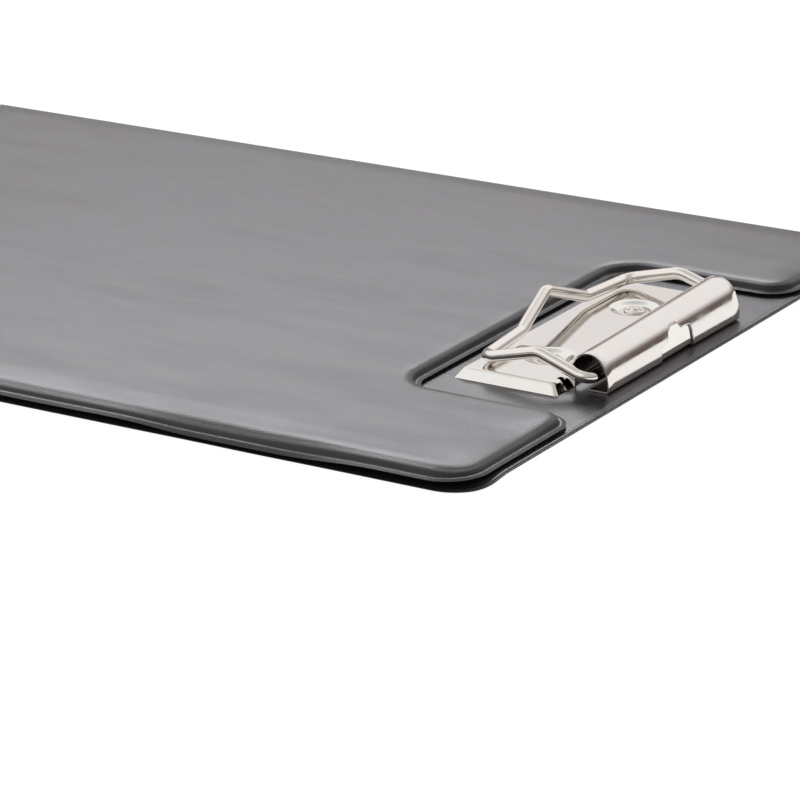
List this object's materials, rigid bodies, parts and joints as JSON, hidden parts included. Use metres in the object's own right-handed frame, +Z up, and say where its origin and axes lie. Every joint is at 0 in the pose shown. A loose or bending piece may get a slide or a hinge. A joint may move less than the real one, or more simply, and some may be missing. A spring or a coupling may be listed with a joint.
{
  "type": "fold-over clipboard",
  "caption": "Foil-covered clipboard with a fold-over front cover, notched round a riveted clip with a spring roller and a wire bail.",
  "frame": {"origin": "middle of the closed clipboard's footprint, on the face that lies on a table", "axes": "+X to the open long edge with the spine at -X, +Y to the clip end, +Z up through the cover"},
  "size_m": [0.235, 0.335, 0.0169],
  "materials": {
    "pvc_outer": "fine leather grain, soft sheen",
    "pvc_inner": "fine grain, satin",
    "greyboard": "raw pressed board",
    "nickel_plate": "polished nickel plating on pressed steel",
    "nickel_roller": "bright nickel plating on spring steel",
    "nickel_rivet": "bright nickel plating",
    "nickel_wire": "bright nickel plating on round wire"
  },
  "bodies": {
    "back_board": {"back_outer_foil": "pvc_outer", "back_card": "greyboard", "back_inner_foil": "pvc_inner", "clip_base_plate": "nickel_plate", "spring_roller": "nickel_roller", "rivet_left": "nickel_rivet", "rivet_right": "nickel_rivet", "rivet_washer_left": "nickel_rivet", "rivet_washer_right": "nickel_rivet"},
    "spine": {"spine_outer_foil": "pvc_outer", "spine_inner_foil": "pvc_inner"},
    "cover": {"cover_outer_foil": "pvc_outer", "cover_card": "greyboard", "cover_inner_foil": "pvc_inner"},
    "bail": {"wire_bail": "nickel_wire"}
  },
  "joints": [
    {"name": "spine_hinge", "type": "hinge", "parent": "back_board", "child": "spine", "pos_m": [-0.1115, 0, 0.0026], "axis": [0, -1, 0], "range_deg": [0, 90]},
    {"name": "cover_hinge", "type": "hinge", "parent": "spine", "child": "cover", "pos_m": [-0.1179, 0, 0.0033], "axis": [0, -1, 0], "range_deg": [0, 270]},
    {"name": "bail_pivot", "type": "hinge", "parent": "back_board", "child": "bail", "pos_m": [-0.002, 0.1565, 0.0076], "axis": [-1, 0, 0], "range_deg": [0, 110], "stiffness_Nm_per_rad": 0.12, "springref_deg": -57.3}
  ]
}
